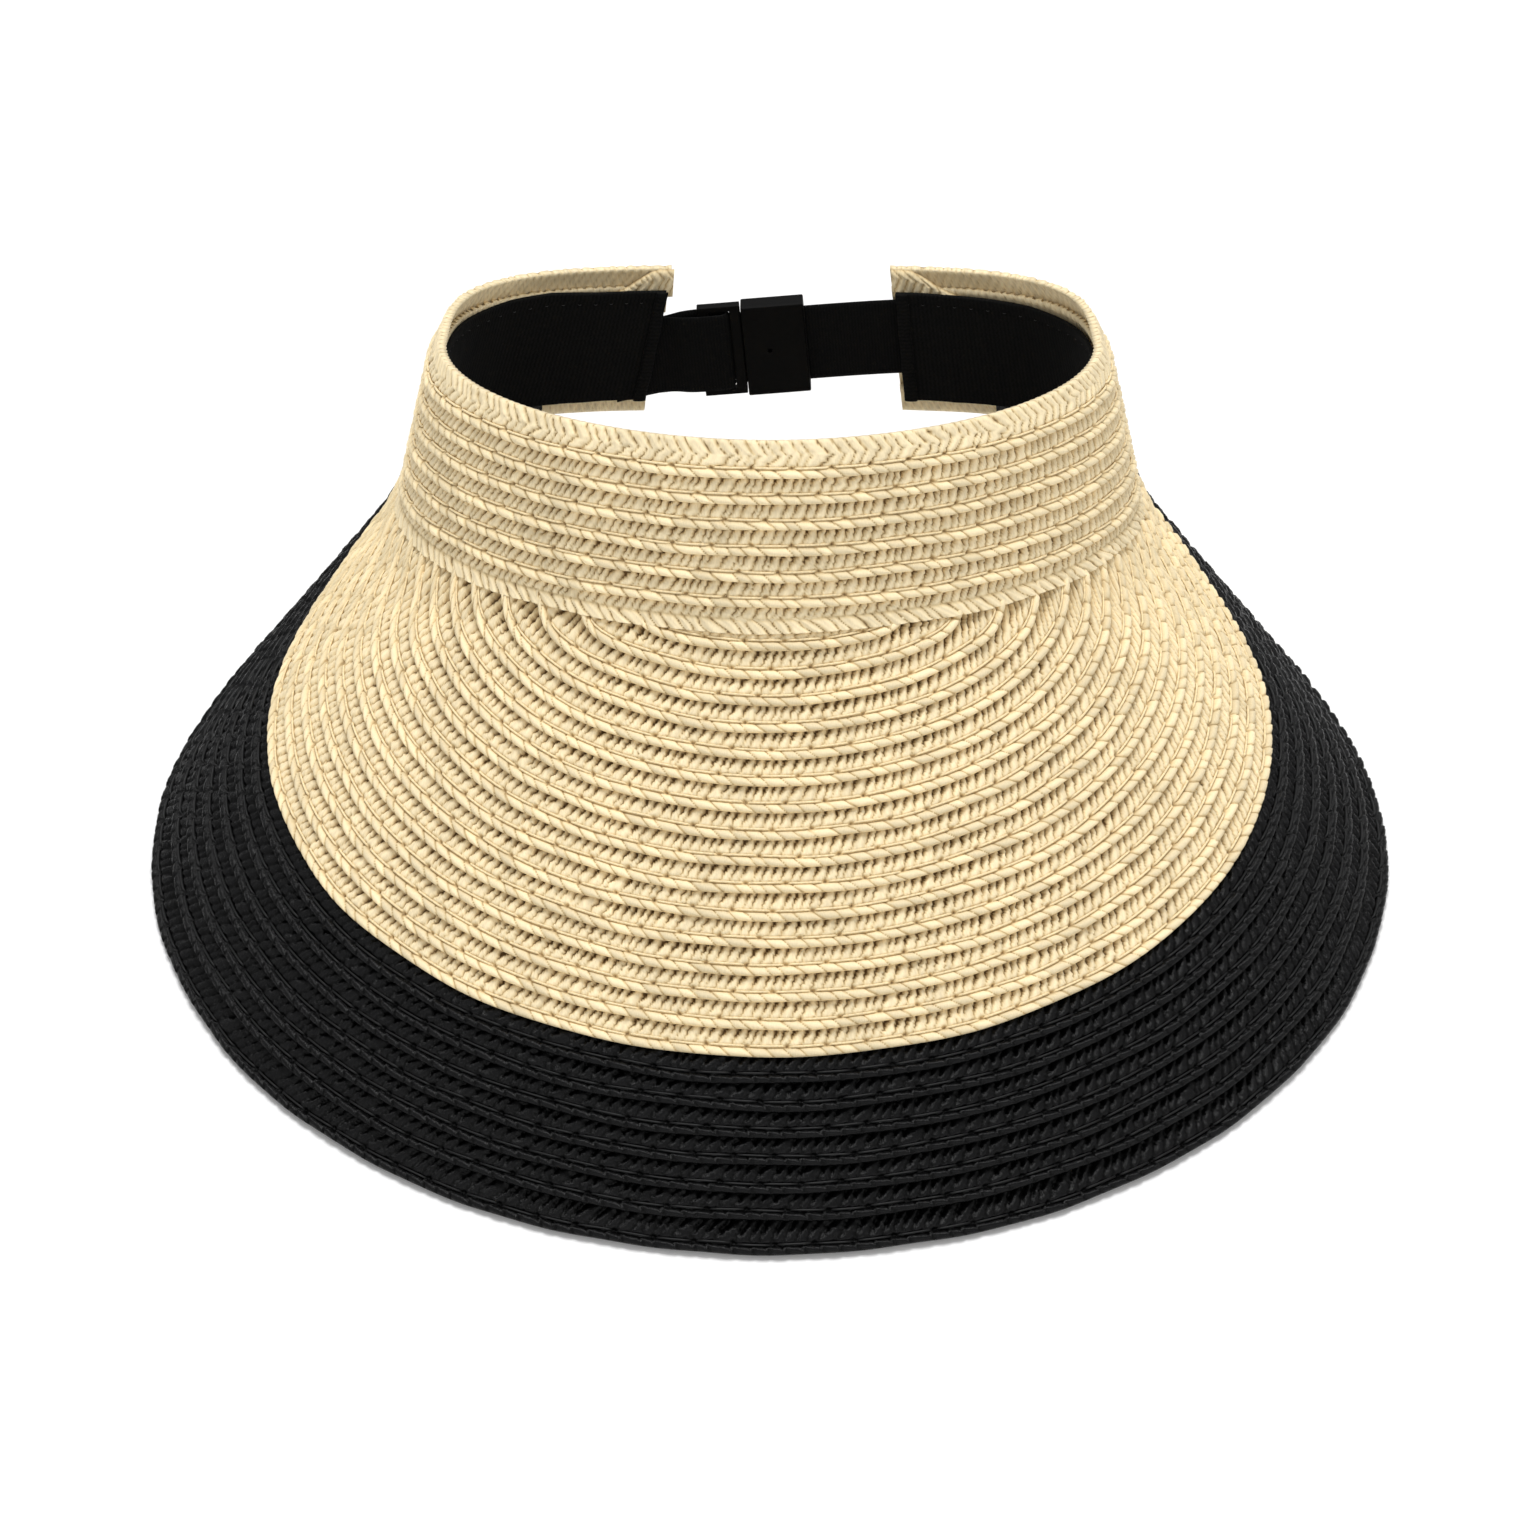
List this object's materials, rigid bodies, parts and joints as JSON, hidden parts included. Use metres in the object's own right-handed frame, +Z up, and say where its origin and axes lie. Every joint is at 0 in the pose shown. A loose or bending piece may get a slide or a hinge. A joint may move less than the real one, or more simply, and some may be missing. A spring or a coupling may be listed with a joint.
{
  "type": "sun visor",
  "caption": "Roll-up straw sun visor: a wide sloping two-tone brim sewn from lapped braid rows, a tall open-topped crown band with a sweatband, and a back strap with a buckle.",
  "frame": {"origin": "middle of the bounding box's base: X and Y centred, Z = 0 on the table under the brim's outer edge", "axes": "+X across the visor, to the right as seen from in front of the brim; -Y forwards, where the brim points; +Z up from the table. Left and right in names are as seen from in front of the brim"},
  "size_m": [0.3126, 0.2626, 0.134],
  "materials": {
    "natural_straw": "braided paper straw, matte, cream",
    "black_straw": "braided paper straw, satin, black",
    "lining": "ribbed cotton, matte, black",
    "webbing": "woven webbing and elastic, matte, black",
    "buckle_plastic": "moulded, matte with a faint sheen, black"
  },
  "bodies": {
    "visor": {"band_row_01": "natural_straw", "band_row_02": "natural_straw", "band_row_03": "natural_straw", "band_row_04": "natural_straw", "band_row_05": "natural_straw", "band_row_06": "natural_straw", "band_row_07": "natural_straw", "brim_row_01": "natural_straw", "brim_row_02": "natural_straw", "brim_row_03": "natural_straw", "brim_row_04": "natural_straw", "brim_row_05": "natural_straw", "brim_row_06": "natural_straw", "brim_row_07": "natural_straw", "brim_row_08": "natural_straw", "brim_row_09": "natural_straw", "brim_row_10": "natural_straw", "brim_row_11": "natural_straw", "brim_row_12": "natural_straw", "brim_row_13": "natural_straw", "brim_row_14": "natural_straw", "brim_row_15": "natural_straw", "brim_row_16": "natural_straw", "brim_row_17": "natural_straw", "brim_row_18": "black_straw", "brim_row_19": "black_straw", "brim_row_20": "black_straw", "brim_row_21": "black_straw", "brim_row_22": "black_straw", "brim_row_23": "black_straw", "brim_row_24": "black_straw", "buckle_clip": "buckle_plastic", "left_end_fold": "natural_straw", "left_strap": "webbing", "left_sweatband_hem": "lining", "right_elastic_strap": "webbing", "right_end_fold": "natural_straw", "right_sweatband_hem": "lining", "sweatband": "lining"},
    "socket": {"buckle_socket": "buckle_plastic"},
    "latch": {"buckle_latch": "buckle_plastic"}
  },
  "joints": [
    {"name": "buckle_slide", "type": "slide", "parent": "visor", "child": "socket", "axis": [0.9959, 0.0118, 0.0899], "range_m": [0, 0.0105], "deforming": ["right_elastic_strap", "buckle_latch"]},
    {"name": "latch_press", "type": "hinge", "parent": "visor", "child": "latch", "pos_m": [-0.00548, 0.12461, 0.06829], "axis": [0.0906, -0.13, -0.9874], "range_deg": [0, 7], "stiffness_Nm_per_rad": 0.05}
  ]
}
